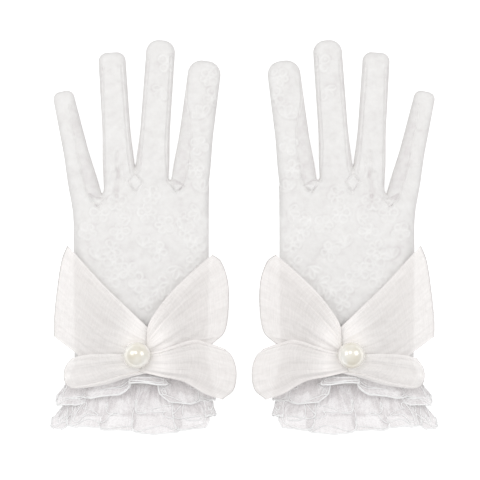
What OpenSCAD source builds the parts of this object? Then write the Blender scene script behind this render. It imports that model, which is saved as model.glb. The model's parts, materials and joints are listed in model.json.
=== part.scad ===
// A pair of short lace gloves, lying on their palms with the thumbs tucked underneath.
// Each glove is a left glove drawn about its own hand's centre line, +Y towards the fingertips
// and z = 0 the surface that it lies on. The right glove is its mirror image.

/* [Hand] */
// Length from the middle fingertip to the edge of the lower frill
glove_length = 222; // [212:1:232]
// Width of the hand lying flat
hand_width = 77; // [74:0.5:80]
// Height of the hand's crown above the surface
hand_height = 15; // [14.5:0.25:17]
// Height of the hand where the fingers start
knuckle_height = 11; // [10:0.25:12]
// Thickness of the sewn fabric, lace and lining together
wall = 0.9; // [0.7:0.05:1]
// Distance between the centre lines of the two gloves
pair_spacing = 116.4; // [112:0.2:140]

/* [Fingers] */
// Length of the index finger from its fold
index_length = 64.5; // [58:0.5:68]
// Length of the little finger from its fold
little_length = 56; // [50:0.5:60]
// Length of the ring finger from its fold
ring_length = 65.5; // [60:0.5:70]
// Height of a finger where it joins the hand
finger_height = 10.6; // [9.5:0.1:11]
// Height of a finger near its tip
fingertip_height = 8.4; // [7:0.1:9]
// Length of the rounded end of a finger
tip_round = 8; // [6:0.5:9]

/* [Thumb] */
// Length of the thumb from the centre of its hole
thumb_length = 48; // [42:0.5:50]
// Width of the thumb
thumb_width = 21; // [18:0.5:22]
// Height of the thumb pressed flat under the palm
thumb_height = 6.8; // [6.4:0.1:7]

/* [Cuff and frills] */
// Height of the wrist opening
wrist_height = 10; // [9.5:0.25:11]
// Width of the hem tape inside the cuff
hem_width = 7; // [5:0.5:9]
// Length of the upper frill from its seam
upper_frill_length = 24; // [20:0.5:26]
// Length of the lower frill from its seam
lower_frill_length = 26; // [22:0.5:28]
// Waves in each frill
frill_waves = 11; // [8:1:12]
// Diameter of the cord on a frill's edge
cord_diameter = 1.2; // [1:0.1:1.4]

/* [Bow and pearl] */
// Diameter of the pearl
pearl_diameter = 15; // [13:0.5:16]
// Diameter of the gathered centre of the bow
knot_diameter = 18; // [17:0.5:19]
// Thickness of the bow's ribbon
ribbon = 0.6; // [0.5:0.05:0.8]

/* [Hidden] */
FINGERS = ["index", "middle", "ring", "little"];
STRIPS = ["back", "palm", "inner_fourchette", "outer_fourchette"];
LOOPS = ["upper_inner", "upper_outer", "lower_inner", "lower_outer"];
PARTS = concat(
    ["back_panel", "palm_panel", "thumb", "cuff_hem"],
    [for (f = FINGERS) str(f, "_back")],
    [for (f = FINGERS) str(f, "_palm")],
    ["index_outer_fourchette", "middle_inner_fourchette", "middle_outer_fourchette",
     "ring_inner_fourchette", "ring_outer_fourchette", "little_inner_fourchette"],
    ["upper_frill", "upper_frill_cord", "lower_frill", "lower_frill_cord"],
    [for (l = LOOPS) str("bow_", l, "_loop")],
    ["bow_knot", "pearl", "pearl_thread"]
);

half_hand = hand_width / 2;
fit_gap = 0.15;
cord_gap = 0.1;

// The folds across the hand where the fingers start, and the hand's two steps between them.
little_fold_y = 27.4;
index_fold_y = 36.5;
ring_fold_y = 39.2;
hand_end_y = little_fold_y - 1.8;
index_step_y = index_fold_y - 1.6;
ring_step_y = ring_fold_y - 1;
fingertip_y = glove_length / 2;

// Each finger: name, x and y of its fold's middle, lean towards the thumb side in degrees, length,
// half widths at the fold and near the tip, and whether its inner (thumb side) and outer
// (little finger side) edges have a fourchette.
middle_lean = 4;
middle_length = (fingertip_y - ring_fold_y) / cos(middle_lean);
FINGER_SHAPES = [
    ["index", 28.3, index_fold_y, 7.4, index_length, 9.8, 9.2, false, true],
    ["middle", 6.2, ring_fold_y, middle_lean, middle_length, 8.5, 8.1, true, true],
    ["ring", -12.9, ring_fold_y, -3.6, ring_length, 8.0, 7.7, true, true],
    ["little", -32.4, little_fold_y, -12.8, little_length, 7.4, 5.8, true, false]
];
finger_columns = 16;

// The thumb turns about the middle of its hole in the palm.
thumb_x = 21.5;
thumb_y = -42;
thumb_hole = [8, 8.5];
thumb_room = thumb_height + 0.6;

// The cuff, from the hand's crown to the wrist opening.
wrist_y = -88;
wrist_low = 2.8;
upper_seam_y = -73;
lower_seam_y = -fingertip_y + lower_frill_length + cord_diameter + cord_gap;
wrist_middle = wrist_low + wrist_height / 2;

// The bow sits on the back of the wrist, with the pearl at its centre.
bow_x = -1.7;
bow_y = -66;
knot_low = 15.4;
knot_height = 2.9;
knot_round = 1.2;
knot_top = knot_low + knot_height;
loop_low = 15.5;
pearl_z = knot_top + 0.3 + pearl_diameter / 2;
thread_radius = 0.4;

// Each loop of the bow: name, the two corners of its outer fold from the bow's centre, how far the fold
// bulges between them, rise of the outer end and puff between its two layers.
LOOP_SHAPES = [
    ["upper_inner", [42.5, 9.5], [41, 56], 8, 1.5, 3.2],
    ["upper_outer", [-43, 61], [-47, 11.5], 1.5, 1.5, 3.2],
    ["lower_inner", [46, -25], [46, 2], 8, 3.2, 2.6],
    ["lower_outer", [-37, 3], [-38, -20], 4, 3.2, 2.2]
];
neck_radius = knot_diameter / 2 + 0.3;
neck_half_width = 2.8;
neck_half_height = 1.3;

function ramp(x, from, to) = min(1, max(0, (x - from) / (to - from)));
function smooth(x, from, to) = let (t = ramp(x, from, to)) t * t * (3 - 2 * t);
function shape_of(table, name) = [for (row = table) if (row[0] == name) row][0];
function mix(a, b, share) = a + (b - a) * share;
function unit(v) = v / norm(v);

// Height of a flattened tube's wall at an angle round it, from -1 to 1, with flat stretches at -1 and 1.
function flattened(angle, e) = let (s = sin(angle)) sign(s) * min(1, 1.08 * pow(abs(s), e));

// A closed sheet between two grids of points, outside and inside, holding only the cells that keep picks.
// With wrap, the last column joins the first.
module sheet(outside, inside, wrap = false, keep = function(i, j) true) {
    rows = len(outside) - 1;
    points_across = len(outside[0]);
    columns = wrap ? points_across : points_across - 1;
    inner = len(outside) * points_across;
    function at(i, j) = i * points_across + j % points_across;
    function kept(i, j) =
        i >= 0 && i < rows
        && (wrap || (j >= 0 && j < columns))
        && keep(i, (j + columns) % columns);
    faces = [
        for (i = [0 : rows - 1]) for (j = [0 : columns - 1]) if (kept(i, j))
            let (a = at(i, j), b = at(i, j + 1), c = at(i + 1, j + 1), d = at(i + 1, j))
            for (face = [
                [a, b, c], [a, c, d],
                [inner + c, inner + b, inner + a], [inner + d, inner + c, inner + a],
                if (!kept(i - 1, j)) each [[b, a, inner + a], [b, inner + a, inner + b]],
                if (!kept(i, j + 1)) each [[c, b, inner + b], [c, inner + b, inner + c]],
                if (!kept(i + 1, j)) each [[d, c, inner + c], [d, inner + c, inner + d]],
                if (!kept(i, j - 1)) each [[a, d, inner + d], [a, inner + d, inner + a]]
            ]) face
    ];
    polyhedron([each [for (row = outside) each row], each [for (row = inside) each row]], faces);
}

// ---- hand ----

function hand_low(x, y) =
    wrist_low * smooth(-y, 58, 72)
    + thumb_room * smooth(x, 0, 8) * smooth(y, -60, -54) * smooth(-y, -15, -7);
function hand_top(y) =
    hand_height
    - (hand_height - wrist_low - wrist_height) * smooth(-y, 48, 72)
    - (hand_height - knuckle_height) * smooth(y, -4, 24);
function hand_point(y, angle, middle_x, half_width, depth) =
    let (
        x = middle_x + (half_width - depth) * cos(angle),
        low = hand_low(x, y),
        top = hand_top(y)
    )
    [x, y, (low + top) / 2 + flattened(angle, 0.45) * ((top - low) / 2 - depth)];

module hand_tube(ys, middle_x, half_width, columns, from, to, keep_row = function(i, j) true) {
    grid = function(depth) [
        for (y = ys) [
            for (j = [0 : columns - 1]) hand_point(y, 360 * j / columns, middle_x, half_width, depth)
        ]
    ];
    sheet(grid(0), grid(wall), true,
        function(i, j) j >= from * columns && j < to * columns && keep_row(i, j));
}

module hand_panel(from, to, keep_row = function(i, j) true) {
    ys = [wrist_y, -80, -72, -64, -60, -54, -49, -42, -35, -22, -8, 4, 12, 19, hand_end_y];
    hand_tube(ys, 0, half_hand, 32, from, to, keep_row);
    bridge_left = -21.6;
    bridge_right = half_hand - 0.1;
    hand_tube([hand_end_y + fit_gap, index_step_y],
        (bridge_left + bridge_right) / 2, (bridge_right - bridge_left) / 2, 24, from, to);
    bridge_end = 15;
    hand_tube([index_step_y + fit_gap, ring_step_y],
        (bridge_left + bridge_end) / 2, (bridge_end - bridge_left) / 2, 24, from, to);
}

module back_panel() color("white") hand_panel(0, 0.5);

// The thumb hole leaves out the cells of the palm that lie over the thumb's own hole.
module palm_panel() color("ghostwhite")
    hand_panel(0.5, 1, function(i, j) !(i >= 6 && i <= 7 && (j == 26 || j == 27)));

module cuff_hem() color("whitesmoke") {
    ys = [wrist_y, wrist_y + hem_width];
    grid = function(depth) [
        for (y = ys) [for (j = [0 : 31]) hand_point(y, 360 * j / 32, 0, half_hand, wall + 0.1 + depth)]
    ];
    sheet(grid(0), grid(0.6), true);
}

// ---- fingers and thumb ----

// How much of its width, and of its height above one wall, a finger keeps at each share of its round end.
TIP = [[0.4, 0.95, 0.9], [0.7, 0.84, 0.7], [0.9, 0.68, 0.36], [1, 0.5, 0]];

function finger_rings(length) = concat(
    [for (share = [0, 0.3, 0.65, 1]) [share * (length - tip_round), 1, 1]],
    [for (t = TIP) [length - tip_round * (1 - t[0]), t[1], t[2]]]
);
function finger_point(shape, ring, angle, depth) =
    let (
        along = ring[0] / shape[4],
        half_width = (shape[5] + (shape[6] - shape[5]) * along) * ring[1] - depth,
        full = (finger_height + (fingertip_height - finger_height) * along) / 2,
        half_height = wall + (full - wall) * ring[2] - depth,
        x = half_width * cos(angle)
    )
    [
        shape[1] + x * cos(shape[3]) + ring[0] * sin(shape[3]),
        shape[2] - x * sin(shape[3]) + ring[0] * cos(shape[3]),
        full + half_height * flattened(angle, 0.7)
    ];

// Which strip of a finger a cell belongs to. The fourchettes stop where the round end starts.
function strip_at(shape, i, j) =
    let (beside = i < 3, quarter = finger_columns / 2)
    beside && shape[7] && (j == 0 || j == finger_columns - 1) ? "inner_fourchette"
    : beside && shape[8] && (j == quarter - 1 || j == quarter) ? "outer_fourchette"
    : j < quarter ? "back" : "palm";

module finger_strip(finger, strip) color(strip == "back" ? "white" : "ghostwhite") {
    shape = shape_of(FINGER_SHAPES, finger);
    rings = finger_rings(shape[4]);
    grid = function(depth) [
        for (ring = rings) [
            for (j = [0 : finger_columns - 1]) finger_point(shape, ring, 360 * j / finger_columns, depth)
        ]
    ];
    sheet(grid(0), grid(wall), true, function(i, j) strip_at(shape, i, j) == strip);
}

// Each ring of the thumb: distance from the hole's middle, share of the width and share of the height.
function thumb_rings() = let (reach = thumb_width / 2) [
    [-reach, 0.4, 0.1], [-0.85 * reach, 0.72, 0.75], [-thumb_hole[1], 0.85, 1], [0, 1, 1], [thumb_hole[1], 1, 1],
    [0.6 * thumb_length, 0.95, 1], [thumb_length - tip_round, 0.88, 1],
    [thumb_length - 0.4 * tip_round, 0.76, 0.8], [thumb_length - 0.1 * tip_round, 0.58, 0.4],
    [thumb_length, 0.4, 0.1]
];
function thumb_point(ring, angle, depth) =
    let (full = thumb_height / 2, half_height = wall + (full - wall) * ring[2] - depth)
    [
        thumb_x + (ring[1] * thumb_width / 2 - depth) * cos(angle),
        thumb_y + ring[0],
        full + half_height * flattened(angle, 0.55)
    ];

// The thumb's hole leaves out the four cells in the middle of its upper side.
module thumb() color("snow") {
    grid = function(depth) [
        for (ring = thumb_rings()) [for (j = [0 : 15]) thumb_point(ring, 360 * j / 16, depth)]
    ];
    sheet(grid(0), grid(wall), true, function(i, j) !((i == 2 || i == 3) && j >= 2 && j <= 5));
}

// ---- frills ----

// Each frill: seam, length, gap outside the hand, extra width and height at its free edge, wave height.
UPPER_FRILL = [upper_seam_y, upper_frill_length, 1.5, 3, 1.6, 1.6];
LOWER_FRILL = [lower_seam_y, lower_frill_length, 0.2, 7, 3.2, 2];
frill_wall = 0.8;
frill_columns = 44;

function frill_point(frill, along, angle, depth) =
    let (
        above = smooth(sin(angle), -0.2, 0.5),
        flare = along * along,
        wave = frill[5] * flare * above * sin(frill_waves * angle + 40),
        out = frill[2] + frill_wall - depth + wave,
        scallop = abs(sin(frill_waves * angle / 2)),
        low = (wrist_low - frill[2] - frill_wall) * (1 - smooth(along, 0.5, 1)) + depth
    )
    [
        (half_hand + out + frill[3] * flare) * cos(angle),
        frill[0] - frill[1] * along * (0.92 + 0.08 * scallop),
        max(low, wrist_middle
            + flattened(angle, 0.5) * (wrist_height / 2 + out + frill[4] * flare))
    ];

module frill(frill) color("lavenderblush") {
    grid = function(depth) [
        for (along = [1, 0.75, 0.4, 0]) [
            for (j = [0 : frill_columns - 1]) frill_point(frill, along, 360 * j / frill_columns, depth)
        ]
    ];
    sheet(grid(0), grid(frill_wall), true);
}

// A cord along a frill's free edge, as rings of a closed tube.
module frill_cord(frill) color("white") {
    sides = 6;
    radius = cord_diameter / 2;
    rise = radius + cord_gap;
    points = [
        for (j = [0 : frill_columns - 1])
            let (
                middle = frill_point(frill, 1, 360 * j / frill_columns, frill_wall / 2),
                before = frill_point(frill, 1, 360 * (j - 1) / frill_columns, frill_wall / 2),
                after = frill_point(frill, 1, 360 * (j + 1) / frill_columns, frill_wall / 2),
                way = (after - before) / norm(after - before),
                out = cross(way, [0, 1, 0]) / norm(cross(way, [0, 1, 0])),
                beyond = cross(out, way),
                lift = max(0, rise - middle[2])
            )
            for (k = [0 : sides - 1])
                middle + [0, -rise, lift]
                + radius * (cos(360 * k / sides) * out + sin(360 * k / sides) * beyond)
    ];
    faces = [
        for (j = [0 : frill_columns - 1]) for (k = [0 : sides - 1])
            let (
                next_ring = (j + 1) % frill_columns * sides,
                ring = j * sides,
                next = (k + 1) % sides
            )
            for (face = [
                [ring + k, ring + next, next_ring + next],
                [ring + k, next_ring + next, next_ring + k]
            ]) face
    ];
    polyhedron(points, faces);
}

// ---- bow and pearl ----

// A point of a loop: t is 0 at the neck and 1 at the outer fold, v runs across the ribbon from -1 to 1,
// layer is 1 on the upper layer, -1 on the lower one and 0 on the fold.
function loop_point(shape, t, v, layer, depth) =
    let (
        direction = unit(shape[1] + shape[2]),
        across = [-direction[1], direction[0]],
        neck = neck_radius * direction + neck_half_width * v * across,
        fold = mix(shape[1], shape[2], (v + 1) / 2) + shape[3] * (1 - v * v) * direction,
        short = layer == 0 ? depth : 0.04 * norm(fold - neck),
        plan = mix(neck, fold - short * unit(fold - neck), t),
        half = neck_half_height + shape[5] * sin(180 * pow(t, 0.7)) * (1 - 0.4 * v * v)
    )
    [bow_x + plan[0], bow_y + plan[1], loop_low + shape[4] * t + half + layer * (half - depth)];

module bow_loop(name) color("linen") {
    shape = shape_of(LOOP_SHAPES, name);
    shares = [0, 0.25, 0.55, 0.85];
    rows = concat(
        [for (t = shares) [t, 1]],
        [[1, 0]],
        [for (k = [3 : -1 : 0]) [shares[k], -1]]
    );
    grid = function(depth) [
        for (row = rows) [for (v = [1 : -0.4 : -1]) loop_point(shape, row[0], v, row[1], depth)]
    ];
    sheet(grid(0), grid(ribbon));
}

module bow_knot() color("linen")
    translate([bow_x, bow_y, knot_low])
        rotate_extrude($fn = 48) {
            radius = knot_diameter / 2;
            square([radius - knot_round, knot_height]);
            translate([0, knot_round]) square([radius, knot_height - 2 * knot_round]);
            for (z = [knot_round, knot_height - knot_round])
                translate([radius - knot_round, z]) circle(knot_round, $fn = 32);
        }

// The pearl is turned about the hole that its thread runs through.
module pearl() color("ivory")
    translate([bow_x, bow_y, pearl_z]) rotate([0, 90, 0])
        rotate_extrude($fn = 64) intersection() {
            circle(d = pearl_diameter, $fn = 64);
            translate([thread_radius + 0.05, -pearl_diameter]) square([pearl_diameter, 2 * pearl_diameter]);
        }

// The thread runs through the pearl and down beside it into the gathered ribbon.
module pearl_thread() color("white") {
    half = pearl_diameter / 2 + thread_radius + 0.3;
    translate([bow_x, bow_y, pearl_z]) rotate([0, 90, 0])
        cylinder(r = thread_radius, h = 2 * half, center = true, $fn = 24);
    for (side = [-1, 1]) translate([bow_x + side * half, bow_y, 0]) {
        translate([0, 0, pearl_z]) sphere(thread_radius, $fn = 24);
        translate([0, 0, knot_top]) cylinder(r = thread_radius, h = pearl_z - knot_top, $fn = 24);
    }
}

// ---- assembly ----

module part(name) {
    if (name == "back_panel") back_panel();
    if (name == "palm_panel") palm_panel();
    if (name == "thumb") thumb();
    if (name == "cuff_hem") cuff_hem();
    for (finger = FINGERS) for (strip = STRIPS)
        if (name == str(finger, "_", strip)) finger_strip(finger, strip);
    if (name == "upper_frill") frill(UPPER_FRILL);
    if (name == "upper_frill_cord") frill_cord(UPPER_FRILL);
    if (name == "lower_frill") frill(LOWER_FRILL);
    if (name == "lower_frill_cord") frill_cord(LOWER_FRILL);
    for (loop = LOOPS) if (name == str("bow_", loop, "_loop")) bow_loop(loop);
    if (name == "bow_knot") bow_knot();
    if (name == "pearl") pearl();
    if (name == "pearl_thread") pearl_thread();
}

module left_part(name) translate([-pair_spacing / 2, 0, 0]) part(name);

for (name = PARTS) {
    left_part(name);
    mirror([1, 0, 0]) left_part(name);
}
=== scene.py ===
"""A pair of lace wedding gloves: the cloth, ribbon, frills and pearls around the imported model.

The left glove is worked out in millimetres about its own hand's centre line, with +Y towards the
fingertips and z = 0 the surface that it lies on. Every piece is then placed twice, as it is for the
left glove and mirrored for the right one.
"""

import json
import math
import random

import bpy
import numpy as np
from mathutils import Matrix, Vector


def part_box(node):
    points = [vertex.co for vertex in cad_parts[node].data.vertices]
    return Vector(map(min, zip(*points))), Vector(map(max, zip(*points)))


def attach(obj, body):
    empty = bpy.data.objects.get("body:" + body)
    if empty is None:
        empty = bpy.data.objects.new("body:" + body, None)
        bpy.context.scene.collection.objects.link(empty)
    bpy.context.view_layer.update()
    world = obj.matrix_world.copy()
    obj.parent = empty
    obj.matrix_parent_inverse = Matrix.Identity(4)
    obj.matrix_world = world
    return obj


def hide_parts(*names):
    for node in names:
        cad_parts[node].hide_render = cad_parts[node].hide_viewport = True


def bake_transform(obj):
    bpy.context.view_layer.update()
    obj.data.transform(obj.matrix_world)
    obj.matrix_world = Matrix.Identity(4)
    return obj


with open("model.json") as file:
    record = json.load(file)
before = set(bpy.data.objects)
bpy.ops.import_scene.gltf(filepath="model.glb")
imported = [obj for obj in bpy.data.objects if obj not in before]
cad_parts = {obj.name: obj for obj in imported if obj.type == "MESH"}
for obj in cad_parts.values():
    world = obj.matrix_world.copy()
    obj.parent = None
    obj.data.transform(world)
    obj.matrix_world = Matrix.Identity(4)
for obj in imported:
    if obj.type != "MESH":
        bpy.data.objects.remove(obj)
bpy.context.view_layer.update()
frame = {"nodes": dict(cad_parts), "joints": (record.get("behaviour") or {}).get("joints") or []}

# ---- sizes read from the frame ----

MM = 0.001
SIDES = (("left", 1), ("right", -1))
FINGERS = ("index", "middle", "ring", "little")
JOINTS = {joint["name"]: joint for joint in frame["joints"]}

hand_low, hand_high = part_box("left_back_panel")
glove_x = (hand_low.x + hand_high.x) / 2 / MM
half_hand = (hand_high.x - hand_low.x) / 2 / MM
hand_top_z = hand_high.z / MM
wrist_y = hand_low.y / MM
pearl_low, pearl_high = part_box("left_pearl")
pearl_radius = (pearl_high.x - pearl_low.x) / 2 / MM
pearl_at = np.array((pearl_low + pearl_high) / 2) / MM - (glove_x, 0, 0)
knot_low, knot_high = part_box("left_bow_knot")
thumb_low, thumb_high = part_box("left_thumb")
thumb_pivot = np.array(JOINTS["left_thumb_swing"]["pos_m"]) / MM - (glove_x, 0, 0)

# ---- small helpers ----


def ramp(x, start, end):
    """0 up to start and 1 from end on, straight between them."""
    return np.clip((x - start) / (end - start), 0, 1)


def smooth(x, start, end):
    """The same as ramp, eased at both ends."""
    t = ramp(x, start, end)
    return t * t * (3 - 2 * t)


def curve_through(points, shares):
    """Points at shares from 0 to 1 along a smooth curve through a few given ones."""
    points = np.array(points, float)
    count = len(points)
    ends = np.vstack([2 * points[0] - points[1], points, 2 * points[-1] - points[-2]])
    place = np.clip(np.asarray(shares, float), 0, 1) * (count - 1)
    i = np.minimum(place.astype(int), count - 2)
    t = (place - i)[:, None]
    a, b, c, d = ends[i], ends[i + 1], ends[i + 2], ends[i + 3]
    square, cube = 2 * a - 5 * b + 4 * c - d, 3 * b - a - 3 * c + d
    return 0.5 * (2 * b + (c - a) * t + square * t ** 2 + cube * t ** 3)


def waves(x, y, seed, count, shortest, longest):
    """Seeded soft undulation from -1 to 1: a sum of plane waves of the given lengths."""
    draw = random.Random(seed)
    total = np.zeros_like(np.asarray(x, float))
    for _ in range(count):
        turn = draw.uniform(0, math.pi)
        length = draw.uniform(shortest, longest)
        phase = draw.uniform(0, 2 * math.pi)
        total += np.sin(2 * math.pi * (x * math.cos(turn) + y * math.sin(turn)) / length + phase)
    return total / math.sqrt(count) / 1.5


def surface_net(field, origin, step):
    """Vertices and quads of the surface where a field sampled on a grid is 0, negative inside."""
    inside = field < 0
    shape = tuple(n - 1 for n in field.shape)
    total = np.zeros(shape + (3,), np.float32)
    count = np.zeros(shape, np.float32)
    corner = lambda grid, o: grid[tuple(slice(o[k], o[k] + shape[k]) for k in range(3))]
    for axis in range(3):
        for first in (0, 1):
            for second in (0, 1):
                at = [0, 0, 0]
                at[(axis + 1) % 3], at[(axis + 2) % 3] = first, second
                to = list(at)
                to[axis] = 1
                a, b = corner(field, at), corner(field, to)
                crossing = corner(inside, at) != corner(inside, to)
                share = np.where(crossing, a / np.where(crossing, a - b, 1), 0)
                for k in range(3):
                    total[..., k] += crossing * (at[k] + (share if k == axis else 0))
                count += crossing
    active = count > 0
    index = np.full(shape, -1, int)
    index[active] = np.arange(active.sum())
    vertices = (np.argwhere(active) + total[active] / count[active][:, None]) * step + origin
    quads = []
    for axis in range(3):
        u, v = (axis + 1) % 3, (axis + 2) % 3
        low = [slice(None)] * 3
        high = [slice(None)] * 3
        low[axis], high[axis] = slice(0, -1), slice(1, None)
        change = inside[tuple(low)] != inside[tuple(high)]
        for places in np.array_split(np.argwhere(change), 8):
            keep = (places[:, u] > 0) & (places[:, v] > 0)
            keep &= (places[:, u] < shape[u]) & (places[:, v] < shape[v])
            places = places[keep]
            ring = []
            for du, dv in ((1, 1), (0, 1), (0, 0), (1, 0)):
                cell = places.copy()
                cell[:, u] -= du
                cell[:, v] -= dv
                ring.append(index[tuple(cell.T)])
            ring = np.stack(ring, 1)
            outward = inside[tuple(places.T)]
            quads.append(np.where(outward[:, None], ring, ring[:, ::-1]))
    return vertices, np.vstack(quads)


def grid_faces(rows, columns, wrap=False):
    """Quads of a grid of points. With wrap the last column joins the first."""
    i, j = np.meshgrid(np.arange(rows - 1), np.arange(columns if wrap else columns - 1), indexing="ij")
    after = (j + 1) % columns
    quads = [i * columns + j, i * columns + after, (i + 1) * columns + after, (i + 1) * columns + j]
    return np.stack([q.ravel() for q in quads], 1)


def vertex_normals(vertices, quads):
    a, b, c, d = (vertices[quads[:, k]] for k in range(4))
    face = np.cross(c - a, d - b)
    total = np.zeros_like(vertices)
    for k in range(4):
        np.add.at(total, quads[:, k], face)
    return total / np.maximum(np.linalg.norm(total, axis=1), 1e-12)[:, None]


def tube(path, radius, sides=6, closed=False):
    """Vertices and quads of a tube along a path of points."""
    path = np.asarray(path, float)
    way = np.roll(path, -1, 0) - np.roll(path, 1, 0)
    if not closed:
        way[0], way[-1] = path[1] - path[0], path[-1] - path[-2]
    way /= np.maximum(np.linalg.norm(way, axis=1), 1e-9)[:, None]
    across = np.cross(way, (0.05, 0.02, 1))
    across /= np.maximum(np.linalg.norm(across, axis=1), 1e-9)[:, None]
    up = np.cross(across, way)
    turns = np.arange(sides) * 2 * math.pi / sides
    ring = np.cos(turns)[None, :, None] * across[:, None] + np.sin(turns)[None, :, None] * up[:, None]
    points = path[:, None] + np.reshape(radius, (-1, 1, 1)) * ring
    faces = grid_faces(len(path), sides, wrap=True)
    if closed:
        last = (len(path) - 1) * sides
        seam = [[last + k, last + (k + 1) % sides, (k + 1) % sides, k] for k in range(sides)]
        faces = np.vstack([faces, seam])
    return points.reshape(-1, 3), faces[:, ::-1]


def joined(parts):
    """Several (vertices, quads) as one."""
    vertices, faces, start = [], [], 0
    for v, f in parts:
        vertices.append(v)
        faces.append(np.asarray(f) + start)
        start += len(v)
    return np.vstack(vertices), np.vstack(faces)


def build(name, side, vertices, quads, material, normals=None, uv=None, **values):
    """A mesh object of a glove's piece, given in the left glove's own millimetres."""
    sign = dict(SIDES)[side]
    points = (np.asarray(vertices, float) + (glove_x, 0, 0)) * (sign * MM, MM, MM)
    quads = np.asarray(quads)[:, ::sign]
    mesh = bpy.data.meshes.new(f"{side}_{name}")
    mesh.vertices.add(len(points))
    mesh.vertices.foreach_set("co", points.ravel())
    mesh.loops.add(quads.size)
    mesh.loops.foreach_set("vertex_index", quads.ravel())
    mesh.polygons.add(len(quads))
    mesh.polygons.foreach_set("loop_start", np.arange(0, quads.size, 4))
    mesh.update(calc_edges=True)
    mesh.polygons.foreach_set("use_smooth", [True] * len(quads))
    if uv is not None:
        layer = mesh.uv_layers.new(name="UVMap")
        layer.data.foreach_set("uv", np.asarray(uv, float)[quads.ravel()].ravel())
    for key, value in values.items():
        mesh.attributes.new(key, "FLOAT", "POINT").data.foreach_set("value", np.asarray(value, np.float32))
    if normals is not None:
        mesh.normals_split_custom_set_from_vertices((normals * (sign, 1, 1)).tolist())
    mesh.materials.append(material)
    piece = bpy.data.objects.new(f"{side}_{name}", mesh)
    bpy.context.scene.collection.objects.link(piece)
    return piece


def place(piece, side, body, slot, nodes=()):
    """Rides a piece on a body of its side, and hides the parts of the model that it stands for."""
    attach(piece, f"{side}_{body}")
    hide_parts(*(f"{side}_{node}" for node in nodes))


def bend(piece, nodes):
    """Bakes a piece's placement into its mesh, and hides the parts of the model that it stands for."""
    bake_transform(piece)
    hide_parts(*nodes)


# ---- materials ----


class Nodes:
    """A material's node tree, built with short calls."""

    def __init__(self, name):
        self.material = bpy.data.materials.new(name)
        self.material.use_nodes = True
        self.tree = self.material.node_tree
        self.shader = self.tree.nodes["Principled BSDF"]

    def set(self, **values):
        for key, value in values.items():
            self.shader.inputs[key.replace("_", " ")].default_value = value

    def add(self, kind, inputs=(), **settings):
        node = self.tree.nodes.new("ShaderNode" + kind)
        for key, value in settings.items():
            setattr(node, key, value)
        for key, value in dict(inputs).items():
            if isinstance(value, bpy.types.NodeSocket):
                self.tree.links.new(value, node.inputs[key])
            else:
                node.inputs[key].default_value = value
        return node

    def math(self, operation, a, b):
        return self.add("Math", {0: a, 1: b}, operation=operation).outputs[0]

    def total(self, *terms, plus=None):
        """The sum of sockets, each times its weight, and of a constant."""
        result = None
        for value, weight in terms:
            part = self.math("MULTIPLY", value, weight)
            result = part if result is None else self.math("ADD", result, part)
        return result if plus is None else self.math("ADD", result, plus)

    def ramp(self, value, *stops):
        node = self.add("ValToRGB", {"Fac": value})
        elements = node.color_ramp.elements
        while len(elements) < len(stops):
            elements.new(0.5)
        for element, (at, colour) in zip(elements, stops):
            element.position = at
            element.color = (*colour, 1)
        return node.outputs["Color"]

    def fade(self, value, start, end):
        """1 up to start, falling smoothly to 0 at end."""
        inputs = {"Value": value, "From Min": start, "From Max": end, "To Min": 1.0, "To Max": 0.0}
        return self.add("MapRange", inputs, interpolation_type="SMOOTHSTEP").outputs["Result"]

    def noise(self, vector, scale, detail=2.0):
        return self.add("TexNoise", {"Vector": vector, "Scale": scale, "Detail": detail}).outputs[0]

    def streaks(self, vector, turn, scale, detail=3.0):
        """Noise drawn out along a direction."""
        inputs = {"Vector": vector, "Rotation": (0, 0, turn), "Scale": (*scale, 1.0)}
        return self.noise(self.add("Mapping", inputs).outputs[0], 1.0, detail)

    def wave(self, vector, scale, direction, distortion=0.0):
        node = self.add("TexWave", {"Vector": vector, "Scale": scale, "Distortion": distortion})
        node.bands_direction = direction
        return node.outputs["Fac"]

    def bump(self, height, distance, strength=1.0):
        inputs = {"Height": height, "Distance": distance, "Strength": strength}
        self.link(self.add("Bump", inputs).outputs[0], "Normal")

    def link(self, socket, name):
        self.tree.links.new(socket, self.shader.inputs[name])


def stretch_lace():
    """White stretch knit, whiter on raised flowers, greyer on fourchettes, with painted shade in creases,
    seams and round flowers.
    """
    n = Nodes("stretch_lace")
    where = n.add("TexCoord").outputs["Object"]
    relief = n.add("Attribute", attribute_name="relief").outputs["Fac"]
    shade = n.add("Attribute", attribute_name="shade").outputs["Fac"]
    mottle, clouds = n.noise(where, 260, 3), n.noise(where, 60)
    # The shade attribute paints shade into the knit. Dark mottle and painted shade both run down to the grey
    # end.
    tone = n.total((mottle, 0.5), (relief, 0.18), (clouds, 0.2), (shade, -0.35), plus=0.12)
    mottle_and_shade_grey, cloth, raised = (0.63, 0.585, 0.595), (0.80, 0.787, 0.777), (0.90, 0.895, 0.885)
    n.link(n.ramp(tone, (0.0, mottle_and_shade_grey), (0.42, cloth), (0.8, raised)), "Base Color")
    wales, courses = n.wave(where, 420, "X", 2.0), n.wave(where, 560, "Y", 2.0)
    n.bump(n.total((wales, 0.6), (courses, 0.4), (n.noise(where, 900), 0.8)), 0.00012, 0.6)
    rough = n.ramp(mottle, (0.3, (0.72, 0.72, 0.72)), (0.7, (0.88, 0.88, 0.88)))
    n.link(rough, "Roughness")
    n.set(Sheen_Weight=0.15, Sheen_Roughness=0.4, Specular_IOR_Level=0.3)
    return n.material


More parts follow.
